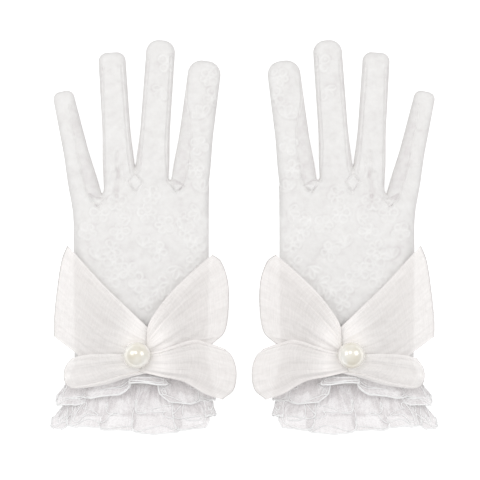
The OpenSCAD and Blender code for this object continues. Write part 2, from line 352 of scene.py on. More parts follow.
def organza():
    """Sheer crinkled ribbon, closer woven where it is gathered, with painted light and shade from the shade
    attribute.

    U runs along the ribbon from the knot and V across it, in millimetres.
    """
    n = Nodes("organza")
    where = n.add("TexCoord").outputs["UV"]
    shade = n.add("Attribute", attribute_name="shade").outputs["Fac"]
    from_knot = n.add("SeparateXYZ", {"Vector": where}).outputs["X"]
    streaks = n.streaks(where, 0, (0.05, 0.5))
    crinkle, crossing = n.streaks(where, 0.6, (1.1, 0.16)), n.streaks(where, -0.5, (1.3, 0.2), 2)
    warp, weft = n.wave(where, 1.1, "X", 1.5), n.wave(where, 1.1, "Y", 1.5)
    tone = n.total((streaks, 0.5), (crinkle, 0.3), (crossing, 0.2))
    shaded, cloth, bright = (0.85, 0.815, 0.795), (0.925, 0.895, 0.88), (0.96, 0.94, 0.925)
    # Painted light and shade: the shade attribute darkens a loop where it is positive and lightens it where
    # it is negative.
    tinted = n.total((tone, 1.0), (shade, -0.2))
    n.link(n.ramp(tinted, (0.0, shaded), (0.45, cloth), (0.9, bright)), "Base Color")
    gathered = n.fade(from_knot, 4, 26)
    n.link(n.total((tone, 0.35), (warp, 0.04), (weft, 0.04), (gathered, 0.4), plus=0.46), "Alpha")
    n.bump(n.total((streaks, 0.5), (crossing, 0.4), (crinkle, 0.6)), 0.0002, 0.5)
    n.set(Roughness=0.5, Sheen_Weight=0.3, Sheen_Roughness=0.35, Specular_IOR_Level=0.3)
    return n.material


def frill_lace():
    """Sheer net with denser embroidered patches. U runs round the frill and V down it, in millimetres."""
    n = Nodes("frill_lace")
    where = n.add("TexCoord").outputs["UV"]
    net = n.add("TexVoronoi", {"Vector": where, "Scale": 1.3}, feature="DISTANCE_TO_EDGE").outputs["Distance"]
    threads = n.math("LESS_THAN", net, 0.14)
    streaks = n.streaks(where, 0, (0.8, 0.09))
    patches = n.ramp(n.noise(where, 0.16, 3), (0.45, (0, 0, 0)), (0.6, (1, 1, 1)))
    tone = n.total((streaks, 0.6), (patches, 0.3))
    thin, net_colour, dense = (0.69, 0.655, 0.66), (0.765, 0.735, 0.74), (0.84, 0.82, 0.825)
    n.link(n.ramp(tone, (0.15, thin), (0.4, net_colour), (0.6, dense)), "Base Color")
    n.link(n.total((threads, 0.1), (tone, 0.4), plus=0.6), "Alpha")
    n.bump(n.total((streaks, 1.2), (threads, 0.4), (patches, 0.4)), 0.0003, 0.6)
    n.set(Roughness=0.7, Sheen_Weight=0.2, Specular_IOR_Level=0.3)
    # A little glow stands for the light that comes through the net from behind.
    n.set(Emission_Color=(1, 0.98, 0.98, 1), Emission_Strength=0.1)
    return n.material


def cord_thread(name, colour):
    """Wound satin thread."""
    n = Nodes(name)
    where = n.add("TexCoord").outputs["Object"]
    twist = n.wave(where, 900, "DIAGONAL", 1.0)
    dark = tuple(0.93 * c for c in colour)
    n.link(n.ramp(n.noise(where, 500), (0.35, dark), (0.6, colour)), "Base Color")
    n.bump(twist, 0.0001, 0.6)
    n.set(Roughness=0.45, Sheen_Weight=0.3)
    return n.material


def hem_tape():
    """Ribbed elastic tape."""
    n = Nodes("hem_tape")
    where = n.add("TexCoord").outputs["Object"]
    ribs = n.wave(where, 330, "Y", 0.3)
    n.link(n.ramp(ribs, (0.2, (0.74, 0.74, 0.74)), (0.8, (0.86, 0.86, 0.86))), "Base Color")
    n.bump(ribs, 0.0002, 0.6)
    n.set(Roughness=0.8, Sheen_Weight=0.2)
    return n.material


def pearl_lustre():
    """Ivory bead with a warm, cloudy lustre and a painted reflection, darker and warmest in a band midway
    between the ends of its hole.
    """
    n = Nodes("pearl")
    where = n.add("TexCoord").outputs["UV"]
    cloud = n.noise(n.add("TexCoord").outputs["Object"], 110, 3)
    across = n.add("SeparateXYZ", {"Vector": where}).outputs["X"]
    # Painted reflection: the band midway between the hole's ends is darker and warmer, and lighter towards
    # the ends, over random clouds of tone.
    tone = n.total((n.fade(across, 0.1, 0.95), -0.22), (cloud, 1.0))
    golden, ivory, white = (0.76, 0.7, 0.57), (0.88, 0.85, 0.77), (0.94, 0.93, 0.89)
    n.link(n.ramp(tone, (0.15, golden), (0.4, ivory), (0.6, white)), "Base Color")
    n.bump(n.noise(where, 8), 0.00002, 0.3)
    n.set(Roughness=0.25, Metallic=0.15, Specular_IOR_Level=0.6, Sheen_Weight=0.3, Sheen_Roughness=0.3)
    n.set(Coat_Weight=1.0, Coat_Roughness=0.18, Coat_IOR=2.3)
    return n.material


LACE = stretch_lace()
ORGANZA = organza()
FRILL_LACE = frill_lace()
EDGE_CORD = cord_thread("edge_cord", (1.0, 1.0, 1.0))
THREAD = cord_thread("thread", (0.90, 0.88, 0.82))
HEM = hem_tape()
PEARL = pearl_lustre()

# ---- the glove's skin ----

GRID_STEP = 0.5
FABRIC_GAP = 0.15
THUMB_ROOM = thumb_high.z / MM + 0.6
WRIST_LOW = 2.8
WRIST_TOP = 12.8
KNUCKLE_TOP = 10.9
FINGERTIP_TOP = 8.2
# How square the cross section of a stuffed form is. 2 would be an ellipse.
PILLOW_POWER = 2.3
# Half sizes of the thumb's hole along X and Y.
THUMB_HOLE = (6.6, 7)
THUMB_CORNER = 8.0


class Finger:
    """A finger's frame from its hinge, with half widths at the fold and the tip."""

    def __init__(self, name, base, tip, corner, beyond):
        joint = JOINTS[f"left_{name}_bend"]
        low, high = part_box(f"left_{name}_back")
        self.name, self.base, self.tip, self.corner = name, base, tip, corner
        self.at = np.array(joint["pos_m"][:2]) / MM - (glove_x, 0)
        self.way = np.array([-joint["axis"][1], joint["axis"][0]])
        self.length = (high.y / MM - self.at[1]) / self.way[1] + beyond

    def frame(self, x, y):
        """How far across, towards the thumb, and along the finger a place is."""
        dx, dy = x - self.at[0], y - self.at[1]
        return dx * self.way[1] - dy * self.way[0], dx * self.way[0] + dy * self.way[1]

    def outline(self, x, y):
        """Distance to the finger's outline in plan, negative inside."""
        u, s = self.frame(x, y)
        half = self.base + (self.tip - self.base) * np.clip(s / self.length, -0.3, 1)
        half = half + 0.9 * smooth(-s, -24, 0)
        side = np.abs(u) - half + self.corner
        end = s - self.length + self.corner
        outer = np.hypot(np.maximum(side, 0), np.maximum(end, 0))
        return outer + np.minimum(np.maximum(side, end), 0) - self.corner


SKIN_FINGERS = (
    Finger("index", 9.7, 9.3, 7.8, -1.0),
    Finger("middle", 8.5, 8.2, 7.0, 0.5),
    Finger("ring", 8.1, 7.7, 5.0, 0),
    Finger("little", 7.8, 5.9, 4.0, 0),
)

# The hand's upper edge between the fingers, from the little finger's side to the thumb's.
HAND_EDGE = ((-40, 22), (-27, 21), (-23, 23), (-17, 33), (-4, 37), (6, 36), (16.5, 32), (30, 30), (40, 28))


def smooth_min(a, b, blend):
    h = np.clip(0.5 + 0.5 * (b - a) / blend, 0, 1)
    return b + (a - b) * h - blend * h * (1 - h)


def glove_outline(x, y):
    edge = np.interp(x, *zip(*HAND_EDGE))
    side = half_hand - 0.25 - 0.5 * smooth(-y, 20, 60) * smooth(y, -100, -60)
    distance = np.maximum(np.abs(x) - side, (y - edge) * 0.8)
    for finger in SKIN_FINGERS:
        distance = smooth_min(distance, finger.outline(x, y), 1.6)
    return distance


def hand_underside(x, y):
    """The wrist's rise, and the room that the palm leaves for the thumb."""
    room = THUMB_ROOM * smooth(x, 0, 8) * smooth(y, -60, -54) * smooth(-y, -15, -7)
    return WRIST_LOW * smooth(-y, 58, 72) + room


def hand_topside(y):
    top = hand_top_z - (hand_top_z - WRIST_TOP) * smooth(-y, 48, 72)
    top = top - (hand_top_z - KNUCKLE_TOP) * smooth(y, -4, 24)
    return top - (KNUCKLE_TOP - FINGERTIP_TOP) * ramp(y, 40, 105)


def rounded_box(x, y, half_x, half_y, corner):
    """Distance in plan to the outline of a box about the origin, negative inside."""
    side, end = np.abs(x) - half_x + corner, np.abs(y) - half_y + corner
    outer = np.hypot(np.maximum(side, 0), np.maximum(end, 0))
    return outer + np.minimum(np.maximum(side, end), 0) - corner


def pillow(outline, low, top, rounding, zs):
    """Field of a flat stuffed form, negative inside, from the distance to its outline in plan."""
    edge = np.maximum(1 + outline / rounding, 0)[..., None]
    middle, half = np.asarray((low + top) / 2)[..., None], np.asarray((top - low) / 2)[..., None]
    lift = np.abs(zs - middle) / half
    return ((edge ** PILLOW_POWER + lift ** PILLOW_POWER) ** (1 / PILLOW_POWER) - 1) * half


def skin_surface():
    xs = np.arange(-54, 50, GRID_STEP)
    ys = np.arange(wrist_y, 114, GRID_STEP)
    zs = np.arange(-1.5, hand_top_z + 1.5, GRID_STEP)
    x, y = np.meshgrid(xs, ys, indexing="ij")
    low, top = hand_underside(x, y) + FABRIC_GAP, hand_topside(y) - FABRIC_GAP
    rounding = 4.9 + 4.6 * smooth(-y, -30, 0)
    field = pillow(glove_outline(x, y), low, top, rounding, zs)
    return surface_net(field.astype(np.float32), np.array([xs[0], ys[0], zs[0]]), GRID_STEP)


# ---- what is worked into the skin: flowers, seams, gussets and creases ----

# Where each flower sits on the back of the hand, on the index finger and near the middle fingertip.
FLOWERS = (
    (-23, 13), (-6, 11), (4, 13), (13, 7), (21, 10), (26, 3), (-16, -7), (-25, -12), (-15, -15), (-17, -24),
    (1, -5), (10, -8), (31, -4), (21, -17), (30, -15), (-1, -26), (10, -29), (-7, -19), (-30, 3), (33, 14),
    (-12, 3), (3, -37), (16, -26), (38, 90), (41, 79), (35, 68), (33, 52), (31, 38), (34, 26), (44, 97),
    (15, 98), (12, 84), (-14, 20), (6, 23),
)
PALM_FLOWERS = tuple((-28 + 14 * (k % 3) + 3 * (k // 3 % 2), 18 - 13 * (k // 3)) for k in range(18))


def flower_lines(seed):
    """Outlines of one motif about its own centre: open petals round an eye, or a spray of leaves."""
    draw = random.Random(seed)
    turn = draw.uniform(0, 2 * math.pi)
    around = np.linspace(0, 2 * math.pi, 22)
    leafy = seed % 3 == 0
    count = 3 if leafy else draw.choice((4, 5, 5))
    lines = []
    for k in range(count):
        angle = turn + (k - 1) * 0.95 if leafy else turn + k * 2 * math.pi / count
        long = draw.uniform(2.6, 3.4) if leafy else draw.uniform(1.7, 2.5)
        wide = long * (draw.uniform(0.4, 0.5) if leafy else draw.uniform(0.7, 0.95))
        out = long + (0.2 if leafy else 1.0)
        swell = 1 + 0.25 * np.cos(around)
        petal = np.stack([out + long * np.cos(around), wide * np.sin(around) * swell], 1)
        c, s = math.cos(angle), math.sin(angle)
        lines.append(petal @ np.array([[c, s], [-s, c]]))
    if not leafy:
        lines.append(np.stack([0.9 * np.cos(around), 0.9 * np.sin(around)], 1))
    return lines


def near_line(x, y, line):
    """Distance from each place to a line of points, in plan."""
    best = np.full(len(x), 1e9)
    for a, b in zip(line[:-1], line[1:]):
        d = b - a
        t = np.clip(((x - a[0]) * d[0] + (y - a[1]) * d[1]) / max(d @ d, 1e-9), 0, 1)
        best = np.minimum(best, np.hypot(x - a[0] - t * d[0], y - a[1] - t * d[1]))
    return best


def emboss(x, y, centres, first_seed):
    """Height of the raised flowers, from 0 to 1, and how close a place is to the foot of one."""
    height, rim = np.zeros(len(x)), np.zeros(len(x))
    for k, centre in enumerate(centres):
        close = np.flatnonzero(np.hypot(x - centre[0], y - centre[1]) < 9)
        nearest = np.full(len(close), 1e9)
        for line in flower_lines(first_seed + k):
            nearest = np.minimum(nearest, near_line(x[close], y[close], line + centre))
        height[close] = np.maximum(height[close], np.exp(-(nearest / 0.5) ** 2))
        # rim is a ring just outside each flower's lines, which gets a painted shadow.
        rim[close] = np.maximum(rim[close], np.exp(-((nearest - 1.1) / 0.5) ** 2))
    worn = 0.45 + 0.55 * smooth(waves(x, y, 21, 6, 7, 16), -0.5, 0.4)
    return height * worn, rim * worn


# Seams where the back meets a fourchette, each from the fingertip down, and the side its strip is on.
SEAMS = (
    ((26.4, 92), (25.8, 77), (28, 67), (28.4, 51), (25.2, 32), (21, 26)),
    ((16.6, 102), (15.2, 74), (13.9, 48), (15.8, 33), (19.6, 25.6)),
    ((4.4, 100), (2.2, 72), (-0.2, 42), (-1.4, 36)),
    ((-11.2, 97), (-9.4, 73), (-7.2, 46), (-5.6, 36)),
    ((-21.6, 96), (-21.2, 66), (-20.6, 36), (-22.5, 24)),
    ((-40.8, 75), (-37.6, 56), (-33, 33), (-29, 21), (-24, 17)),
)
STRIP_SIDE = (-1, 1, -1, 1, -1, 1)
# Small gussets at the three crotches, as closed outlines.
GUSSETS = (
    ((-3.6, 36), (-7, 31), (-3, 25), (1, 31), (-3.6, 36)),
    ((14.6, 32), (19.6, 25.6), (24.6, 28.5), (19, 32), (14.6, 32)),
    ((-29, 24), (-24.5, 16.5), (-20.5, 22), (-25, 22), (-29, 24)),
)
# Creases: start, end, depth, width. The depth also sets how much painted shade each crease gets.
CREASES = (
    ((-13.2, 48), (-12.4, 34), 0.6, 1.0), ((-12.4, 37), (-13.8, 20), 1.1, 2.2),
    ((-15.4, 36), (-18.6, 22), 0.6, 1.3), ((-10.6, 41), (-8.4, 31), 0.5, 0.9),
    ((9, 31), (7, 22), 0.4, 1.6), ((22, 20), (27, 6), 0.45, 2.2), ((-30, 2), (-26, -16), 0.4, 2.4),
    ((34, 60), (42, 58), 0.35, 1.2), ((33, 75), (40, 80), 0.35, 1.4), ((-8, 88), (-16, 86), 0.3, 1.4),
    ((12, -2), (24, -20), 0.4, 2.6), ((4, 82), (12, 86), 0.3, 1.4), ((-38, 58), (-42, 60), 0.3, 1.0),
)


def crease_height(x, y):
    height = np.zeros(len(x))
    for start, end, depth, width in CREASES:
        a, b = np.array(start, float), np.array(end, float)
        middle = (a + b) / 2 + 0.06 * np.array([b[1] - a[1], a[0] - b[0]])
        line = curve_through([a, middle, b], np.linspace(0, 1, 8))
        close = np.flatnonzero(np.hypot(x - middle[0], y - middle[1]) < np.linalg.norm(b - a) / 2 + 5)
        d = near_line(x[close], y[close], line)
        side = np.exp(-((d - 1.5 * width) / width) ** 2)
        height[close] += depth * (0.45 * side - np.exp(-(d / width) ** 2))
    return height


def seam_height(x, y):
    """A stitched groove between two low welts, along each seam and gusset."""
    height = np.zeros(len(x))
    strip = np.zeros(len(x))
    for points, side in zip(SEAMS, STRIP_SIDE):
        line = curve_through(points, np.linspace(0, 1, 24))
        d = near_line(x, y, line)
        height += 0.28 * np.exp(-((d - 0.8) / 0.45) ** 2) - 0.45 * np.exp(-(d / 0.5) ** 2)
        seam_x = np.interp(y, line[::-1, 1], line[::-1, 0])
        beyond = (x - seam_x) * side
        along = (y > line[-1, 1] + 4) & (y < line[0, 1] + 2)
        strip = np.maximum(strip, along * smooth(beyond, 0, 0.8) * (beyond < 7))
    for outline in GUSSETS:
        d = near_line(x, y, np.array(outline, float))
        height += 0.3 * np.exp(-((d - 0.9) / 0.5) ** 2) - 0.7 * np.exp(-(d / 0.5) ** 2)
    return height, strip


def worked_skin():
    """The whole skin with its relief, its normals, how raised each vertex is and how much painted shade it
    gets.
    """
    vertices, quads = skin_surface()
    normals = vertex_normals(vertices, quads)
    x, y = vertices[:, 0], vertices[:, 1]
    up, down = np.clip(normals[:, 2], 0, 1), np.clip(-normals[:, 2], 0, 1)
    back, back_rim = emboss(x, y, FLOWERS, 11)
    palm, palm_rim = emboss(x, y, PALM_FLOWERS, 90)
    flowers = back * up + palm * down
    seams, strip = seam_height(x, y)
    slack = 0.35 * waves(x, y, 5, 7, 9, 26) + 0.12 * waves(x, y, 6, 8, 3, 7)
    creases = crease_height(x, y)
    # Darker along the fourchette strips, with painted shade in crease troughs and seam grooves and a painted
    # shadow round the foot of each flower, on top and under the palm.
    shade = (np.clip(0.35 * strip - 0.5 * creases - 0.45 * seams, 0, 1) + 0.28 * back_rim) * up
    shade = shade + 0.2 * palm_rim * down
    above = (creases + seams + slack) * up
    vertices = vertices + normals * (0.4 * flowers)[:, None]
    vertices[:, 2] += above + 0.25 * slack * down
    vertices[:, 2] = np.maximum(vertices[:, 2], FABRIC_GAP)
    return vertices, quads, vertex_normals(vertices, quads), flowers, shade


def make_skins():
    """The hand and its fingers, cut apart where the fingers start."""
    vertices, quads, normals, flowers, shade = worked_skin()
    centres = vertices[quads].mean(1)
    owner = np.full(len(quads), -1)
    for k, finger in enumerate(SKIN_FINGERS):
        u, s = finger.frame(centres[:, 0], centres[:, 1])
        owner[(s > 0) & (np.abs(u) < finger.base + 1.6)] = k
    for k, name in enumerate(("hand",) + FINGERS, -1):
        faces = quads[owner == k]
        used, flat = np.unique(faces, return_inverse=True)
        shape = vertices[used], flat.reshape(-1, 4)
        cut = dict(normals=normals[used], relief=flowers[used], shade=shade[used])
        for side, _ in SIDES:
            skin = build(f"{name}_skin", side, *shape, LACE, **cut)
            if name == "hand":
                place(skin, side, "hand", "stretch_lace", ("back_panel", "palm_panel"))
                continue
            finger = SKIN_FINGERS[k]
            strips = [n for n in frame["nodes"] if n.startswith(f"{side}_{name}_")]
            bend(skin, strips)


def make_thumb():
    """The thumb, pressed flat under the palm, with a short neck up to its hole."""
    reach = (thumb_high.x - thumb_low.x) / 2 / MM
    top = thumb_high.z / MM
    low_y, high_y = thumb_low.y / MM, thumb_high.y / MM
    cx, cy = thumb_pivot[0], thumb_pivot[1]
    xs = np.arange(cx - reach - 2, cx + reach + 2, GRID_STEP)
    ys = np.arange(low_y - 2, high_y + 2, GRID_STEP)
    zs = np.arange(-1.2, top + 2, GRID_STEP)
    x, y = np.meshgrid(xs, ys, indexing="ij")
    half = (reach - 0.3) * (1 - 0.14 * smooth(y, cy + 10, high_y))
    long = (high_y - low_y) / 2 - 0.3
    outline = rounded_box(x - cx, y - (low_y + high_y) / 2, half, long, THUMB_CORNER)
    field = pillow(outline, FABRIC_GAP, top - FABRIC_GAP, 4.5, zs)
    vertices, quads = surface_net(field.astype(np.float32), np.array([xs[0], ys[0], zs[0]]), GRID_STEP)
    middle = vertices[quads].mean(1)
    hole_x, hole_y = THUMB_HOLE
    hole = np.hypot((middle[:, 0] - cx) / hole_x, (middle[:, 1] - cy) / hole_y) < 1
    quads = quads[~(hole & (middle[:, 2] > top / 2))]
    normals = vertex_normals(vertices, quads)
    x, y = vertices[:, 0], vertices[:, 1]
    line = np.array([(cx + 6, low_y + 6), (cx + 7, cy + 20), (cx + 3, high_y - 5)])
    d = near_line(x, y, curve_through(line, np.linspace(0, 1, 16)))
    vertices[:, 2] += 0.125 * waves(x, y, 8, 6, 6, 15) * normals[:, 2] ** 2
    vertices = vertices - normals * (0.3 * np.exp(-(d / 0.5) ** 2))[:, None]
    vertices[:, 2] = np.clip(vertices[:, 2], FABRIC_GAP, top + 0.3)
    normals = vertex_normals(vertices, quads)
    flat = np.zeros(len(vertices))
    around = np.linspace(0, 2 * math.pi, 49)[:-1]
    rows = []
    for share in np.linspace(0, 1, 5):
        grow = 1 + 0.12 * math.sin(math.pi * share)
        rows.append(np.stack([cx + hole_x * grow * np.cos(around) + 0.15 * np.sin(12 * around),
                              cy + hole_y * grow * np.sin(around), np.full(48, top - 0.4 + 2.2 * share)], 1))
    neck = np.concatenate(rows), grid_faces(5, 48, wrap=True)
    blank = np.zeros(len(neck[0]))
    for side, _ in SIDES:
        thumb = build("thumb_skin", side, vertices, quads, LACE, relief=flat, shade=flat)
        place(thumb, side, "thumb", "stretch_lace", ("thumb",))
        collar = build("thumb_gusset", side, *neck, LACE, relief=blank, shade=blank)
        place(collar, side, "hand", "stretch_lace")


def make_hem():
    """Gathered tape inside the wrist opening."""
    low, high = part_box("left_cuff_hem")
    half_x, half_z = (high.x - low.x) / 2 / MM, (high.z - low.z) / 2 / MM
    middle_z = (high.z + low.z) / 2 / MM
    around = np.linspace(0, 2 * math.pi, 241)[:-1]
    rows = []
    for y in np.linspace(low.y / MM, high.y / MM, 9):
        tuck = 0.25 * np.sin(60 * around + 0.6 * math.sin(y))
        s = np.sin(around)
        level = np.sign(s) * np.minimum(1, 1.08 * np.abs(s) ** 0.45)
        rows.append(np.stack([(half_x - 0.3 + tuck) * np.cos(around), np.full(240, y),
                              middle_z + (half_z - 0.4 + tuck) * level], 1))
    vertices, quads = np.concatenate(rows), grid_faces(9, 240, wrap=True)
    for side, _ in SIDES:
        place(build("hem", side, vertices, quads, HEM), side, "hand", "hem_tape", ("cuff_hem",))


make_skins()
make_thumb()
make_hem()

# ---- bow ----

LOOP_ROWS, LOOP_COLUMNS = 56, 150
LOOP_LEVEL = 15.4

# Each loop: its edge from the knot to the outer fold on one side, the outer fold, and its edge on the
# other side, all in plan. Then how many pleats it has and how deep they are, its level, rise and puff,
# how much painted shade it gets (negative paints it lighter), and its seed.
LOOPS = {
    "upper_outer": (
        ((6, -52.5), (-7.7, -39.5), (-21.5, -26), (-41, -4.5)),
        ((-41, -4.5), (-44.5, -14), (-47.2, -32), (-48.6, -47), (-48.6, -56)),
        ((0, -75), (-14, -75), (-27, -72), (-37, -64.5), (-48.6, -56)),
        9, 0.3, 0.3, 1.5, 2.0, -0.2, 3),
    "upper_inner": (
        ((3.6, -56), (5.2, -47.5), (15, -33.5), (28, -20.5), (40.5, -9.8)),
        ((40.5, -9.8), (45.6, -14), (49.2, -25), (49.6, -39.5), (47.4, -53), (40, -60.3)),
        ((3, -70), (17, -65), (28, -62), (40, -60.3)),
        8, 0.6, 1.4, 1.4, 2.6, 0.5, 4),
    "lower_inner": (
        ((3, -65), (10, -63.5), (18, -61), (30, -57.5), (39, -59.5), (47.5, -62.5)),
        ((47.5, -62.5), (52, -67.5), (54, -76), (52.4, -85.5), (46, -91)),
        ((0, -75.5), (12, -78.2), (24, -80.8), (36, -87.5), (46, -91)),
        7, 0.45, 3.4, 2.4, 3.0, 0.6, 5),
    "lower_outer": (
        ((0, -66), (-18, -65.5), (-30, -66), (-38.5, -67.8)),
        ((-38.5, -67.8), (-42.2, -73), (-42.9, -79), (-41, -83.5), (-37, -85)),
        ((8, -75.5), (-6, -78.5), (-21, -83), (-37, -85)),
        7, 0.45, 1.8, 2.2, 2.4, -0.7, 6),
}
# The broad dip along the middle of the inner upper loop: place across it, half width and depth.
VALLEY = (0.1, 0.22, 2.0)


def pleats(v, seed, count):
    """Folds across a gathered ribbon, from -1 to 1, as a function of the place across it."""
    draw = random.Random(seed)
    total = np.zeros_like(v)
    for k in range(count):
        at = -1 + 2 * (k + draw.uniform(0.15, 0.85)) / count
        width = draw.uniform(0.4, 1.0) / count
        total += draw.uniform(0.5, 1.0) * draw.choice((1, 1, -1)) * np.exp(-((v - at) / width) ** 2)
    return total


def loop_plan(edges, t, v):
    """Place in plan between a loop's edges, its neck and its outer fold. t runs outwards, v across."""
    upper, outer, lower = edges
    a, b = curve_through(upper, t.ravel()), curve_through(lower, t.ravel())
    fold = curve_through(outer, (1 - v.ravel()) / 2)
    share = ((v.ravel() + 1) / 2)[:, None]
    along = t.ravel()[:, None]
    neck = np.array(lower[0]) * (1 - share) + np.array(upper[0]) * share
    corner = lambda p, q: np.array(p) * (1 - share) + np.array(q) * share
    flat = (1 - along) * neck + along * corner(lower[-1], upper[-1])
    return (b * (1 - share) + a * share) + ((1 - along) * neck + along * fold) - flat


def make_loop(name, shape):
    upper, outer, lower, count, crisp, level, rise, puff, shaded, seed = shape
    down = np.linspace(0, 1, LOOP_ROWS) ** 0.9
    t_rows = np.concatenate([down, down[::-1][1:]])
    layer = np.concatenate([np.ones(LOOP_ROWS), -np.ones(LOOP_ROWS - 1)])
    v_row = np.linspace(1, -1, LOOP_COLUMNS)
    t, v = np.meshgrid(t_rows, v_row, indexing="ij")
    sheet = np.meshgrid(layer, v_row, indexing="ij")[0]
    plan = loop_plan((upper, outer, lower), t, v).reshape(t.shape + (2,))
    gather = 1 - smooth(t, 0.0, 1.0)
    depth = 0.25 + 1.5 * smooth(t, 0, 0.25) * (0.35 + 0.65 * gather)
    folds = np.where(sheet > 0, pleats(v, seed, count), 0.7 * pleats(v, seed + 20, count))
    fine = pleats(v + 0.02 * np.sin(6 * t), seed + 40, 3 * count)
    crinkle = waves(plan[..., 0], plan[..., 1], seed + 60, 10, 3, 9)
    round_off = np.sqrt(np.clip(1 - ((t - 0.94) / 0.06).clip(0, 1) ** 2, 0, 1))
    spread = puff * np.sin(np.pi * t ** 0.7) * (1 - 0.55 * v ** 2) + 0.7 * round_off
    middle = LOOP_LEVEL + level + rise * t + puff * 0.5 + 1.0
    z = middle + sheet * spread * 0.8
    relief = crisp * depth * folds + 0.14 * fine * (0.3 + gather) + 0.22 * crinkle * smooth(t, 0.1, 0.4)
    z += relief * (0.35 + 0.65 * round_off)
    if name == "upper_inner":
        at, half_width, dip = VALLEY
        z -= dip * np.exp(-((v - at) / half_width) ** 2) * np.sin(np.pi * t) * (sheet > 0)
    overhang = np.clip(np.abs(plan[..., 0]) - half_hand, 0, None)
    z -= 0.12 * overhang
    vertices = np.concatenate([plan, z[..., None]], 2).reshape(-1, 3)
    quads = grid_faces(*t.shape)
    points = vertices.reshape(t.shape + (3,))
    step_t = np.linalg.norm(np.diff(points, axis=0), axis=2).mean(1)
    step_v = np.linalg.norm(np.diff(points, axis=1), axis=2)[:LOOP_ROWS].mean(0)
    run = np.r_[0, step_t.cumsum()]
    length = run[-1]
    from_knot = np.minimum(run, length - run)
    uv = np.stack(np.meshgrid(from_knot, np.r_[0, step_v.cumsum()], indexing="ij"), 2)
    uv[LOOP_ROWS:, :, 1] += 100
    joint = JOINTS[f"left_bow_{name}_lift"]
    way = np.array([joint["axis"][1], -joint["axis"][0]])
    way *= np.sign(way[0] * (outer[1][0] - pearl_at[0]))
    # Each loop's painted light and shade, the same all over the loop.
    shade = np.full(len(vertices), float(shaded))
    for side, _ in SIDES:
        piece = build(f"bow_{name}_ribbon", side, vertices, quads, ORGANZA, uv=uv.reshape(-1, 2), shade=shade)
        bend(piece, [f"{side}_bow_{name}_loop"])


for loop_name, loop_shape in LOOPS.items():
    make_loop(loop_name, loop_shape)


# The gather is pulled in under the pearl.
GATHER_RADIUS = 7.0


def make_knot():
    """The ribbon gathered and tied under the pearl, as a low cushion of radial pleats."""
    rings, around = 20, 240
    angle = np.linspace(0, 2 * math.pi, around + 1)[:-1]
    low, high = knot_low.z / MM, knot_high.z / MM
    x0, y0 = pearl_at[0], pearl_at[1]
    rows = []
    for k in range(rings):
        turn = math.pi * (k + 0.5) / rings
        radius = GATHER_RADIUS * math.sin(turn) ** 0.45
        fold = 0.06 * np.sin(15 * angle) + 0.05 * np.sin(23 * angle + 1.3) + 0.03 * np.sin(41 * angle)
        r = radius * (1 + fold * math.sin(turn) - 0.06)
        z = (low + high) / 2 + (high - low) / 2 * math.cos(turn) * 0.95
        rows.append(np.stack([x0 + r * np.cos(angle), y0 + r * np.sin(angle), np.full(around, z)], 1))
    vertices, quads = np.concatenate(rows), grid_faces(rings, around, wrap=True)[:, ::-1]
    uv = np.stack([np.repeat(np.linspace(0, 3, rings), around), np.tile(angle * radius, rings)], 1)
    # The gather under the pearl gets a little painted shade.
    shade = np.full(len(vertices), 0.3)
    for side, _ in SIDES:
        gather = build("bow_gather", side, vertices, quads, ORGANZA, uv=uv, shade=shade)
        place(gather, side, "hand", "organza", ("bow_knot",))


def make_pearl():
    """A bead turned about its hole, and the thread through it."""
    bore, lip = 0.5, 0.25
    start = math.asin(bore / pearl_radius)
    turn = np.linspace(start, math.pi - start, 72)
    profile = np.stack([pearl_radius * np.cos(turn), pearl_radius * np.sin(turn)], 1)
    inner = np.array([[-pearl_radius + lip, bore], [0, bore], [pearl_radius - lip, bore]])
    profile = np.vstack([profile, inner, profile[:1]])
    angle = np.linspace(0, 2 * math.pi, 97)[:-1]
    x = np.repeat(profile[:, 0], 96)
    y = np.outer(profile[:, 1], np.cos(angle)).ravel()
    z = np.outer(profile[:, 1], np.sin(angle)).ravel()
    bead = np.stack([x, y, z], 1) * (1, 0.995, 0.995) + pearl_at
    bead_uv = np.stack([np.abs(x) / pearl_radius, np.tile(angle, len(profile))], 1)
    quads = grid_faces(len(profile), 96, wrap=True)
    share = np.linspace(0, math.pi, 40)
    reach = pearl_radius + 0.9
    drop = pearl_at[2] - knot_high.z / MM + 0.6
    arc = np.stack([reach * np.cos(share), 0 * share, 0 * share], 1)
    legs = [(side * reach * (1 - 0.25 * s), 0, -drop * s) for side, s in ((1, 1.0), (1, 0.6), (1, 0.25))]
    route = legs + [tuple(p) for p in arc] + [(-p[0], p[1], p[2]) for p in legs[::-1]]
    strand = tube(curve_through(route, np.linspace(0, 1, 90)) + pearl_at, 0.38, 8)
    for side, _ in SIDES:
        place(build("pearl_bead", side, bead, quads, PEARL, uv=bead_uv), side, "pearl", "pearl", ("pearl",))
        place(build("pearl_strand", side, *strand, THREAD), side, "hand", "thread", ("pearl_thread",))


make_knot()
make_pearl()

# ---- frills ----

FRILL_ROWS, FRILL_COLUMNS = 26, 900


